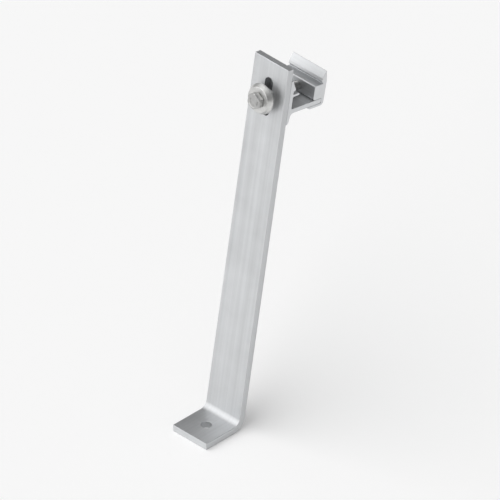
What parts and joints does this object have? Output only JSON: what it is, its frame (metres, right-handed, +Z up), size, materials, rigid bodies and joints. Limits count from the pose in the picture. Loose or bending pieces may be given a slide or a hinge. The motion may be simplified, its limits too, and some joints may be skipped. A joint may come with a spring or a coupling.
{
  "type": "tilt leg for a solar panel stand",
  "caption": "Bent aluminium bar leg for a tilted solar panel stand, with a bolt hole in its foot and a sliding bolted rail clamp at its slotted top.",
  "frame": {"origin": "axis of the hole in the foot, at the foot's underside", "axes": "+X across the bar, +Y towards the side that the upright leans to and the clamp is on, +Z up, square to the foot"},
  "size_m": [0.04, 0.1443, 0.3427],
  "materials": {
    "bar_aluminium": "satin mill finish with fine lines along the bar",
    "clamp_aluminium": "satin extruded finish with die lines and sawn ends",
    "bolt_steel": "plain stainless steel, cold formed",
    "washer_steel": "plain stainless steel, turned and tumbled"
  },
  "bodies": {
    "leg": {"leg": "bar_aluminium"},
    "washers": {"flat_washer": "washer_steel", "spring_washer": "washer_steel", "bevelled_washer": "washer_steel"},
    "bracket": {"clamp_bracket": "clamp_aluminium"},
    "bolt": {"bolt": "bolt_steel"},
    "jaw": {"clamp_jaw": "clamp_aluminium"}
  },
  "joints": [
    {"name": "height_slide", "type": "slide", "parent": "leg", "child": "washers", "axis": [0, 0.1736, 0.9848], "range_m": [-0.0135, 0.0135]},
    {"name": "clamp_swivel", "type": "hinge", "parent": "washers", "child": "bracket", "pos_m": [0, 0.07868, 0.30835], "axis": [0, 0.9848, -0.1736], "continuous": true},
    {"name": "bolt_turn", "type": "hinge", "parent": "bracket", "child": "bolt", "pos_m": [0, 0.07868, 0.30835], "axis": [0, -0.9848, 0.1736], "range_deg": [0, 2160]},
    {"name": "jaw_slide", "type": "slide", "parent": "bracket", "child": "jaw", "axis": [0, 0.9848, -0.1736], "range_m": [0, 0.0075]}
  ],
  "couplings": [
    {"joint": "bolt_turn", "follows": "jaw_slide", "rad_per_m": 5026.5}
  ]
}
